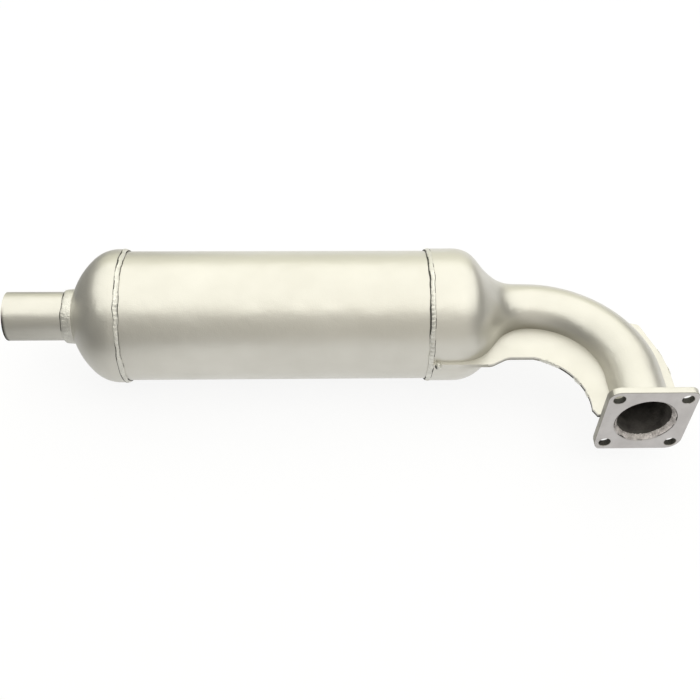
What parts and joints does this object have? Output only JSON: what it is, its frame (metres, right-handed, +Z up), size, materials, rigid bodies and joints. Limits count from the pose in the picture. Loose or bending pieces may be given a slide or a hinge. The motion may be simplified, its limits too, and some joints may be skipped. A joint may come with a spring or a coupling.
{
  "type": "muffler",
  "caption": "Welded cylindrical engine muffler with a domed outlet end, a straight tail pipe and an elbow of two pressed half shells ending in a square bolted flange.",
  "frame": {"origin": "centre of the inlet flange's mating face, on the axis of the elbow's straight leg", "axes": "-Y out of the inlet flange towards the engine; +X along the body, away from the tail pipe; +Z up, square to the plane that the elbow bends in, with the half shells' seam at Z = 0"},
  "size_m": [0.6472, 0.2105, 0.1342],
  "materials": {
    "silver_paint": "satin",
    "weld_bead": "satin, rippled",
    "flange_paint": "satin",
    "bare_steel": "dull"
  },
  "bodies": {
    "root": {"body_shell": "silver_paint", "outlet_end_cap": "silver_paint", "outlet_pipe": "silver_paint", "inlet_half_shell_upper": "silver_paint", "inlet_half_shell_lower": "silver_paint", "body_seam_weld": "weld_bead", "outlet_cap_weld": "weld_bead", "outlet_pipe_weld": "weld_bead", "inlet_cap_weld": "weld_bead", "flange_weld": "weld_bead", "flange_bore_weld": "weld_bead", "web_edge_welds": "weld_bead", "fin_edge_welds": "weld_bead", "lip_tack_welds": "weld_bead", "inlet_flange": "flange_paint", "inlet_tube": "bare_steel", "inlet_tube_plug": "bare_steel", "outlet_pipe_plug": "bare_steel", "inlet_baffle": "bare_steel", "outlet_baffle": "bare_steel"}
  },
  "joints": []
}
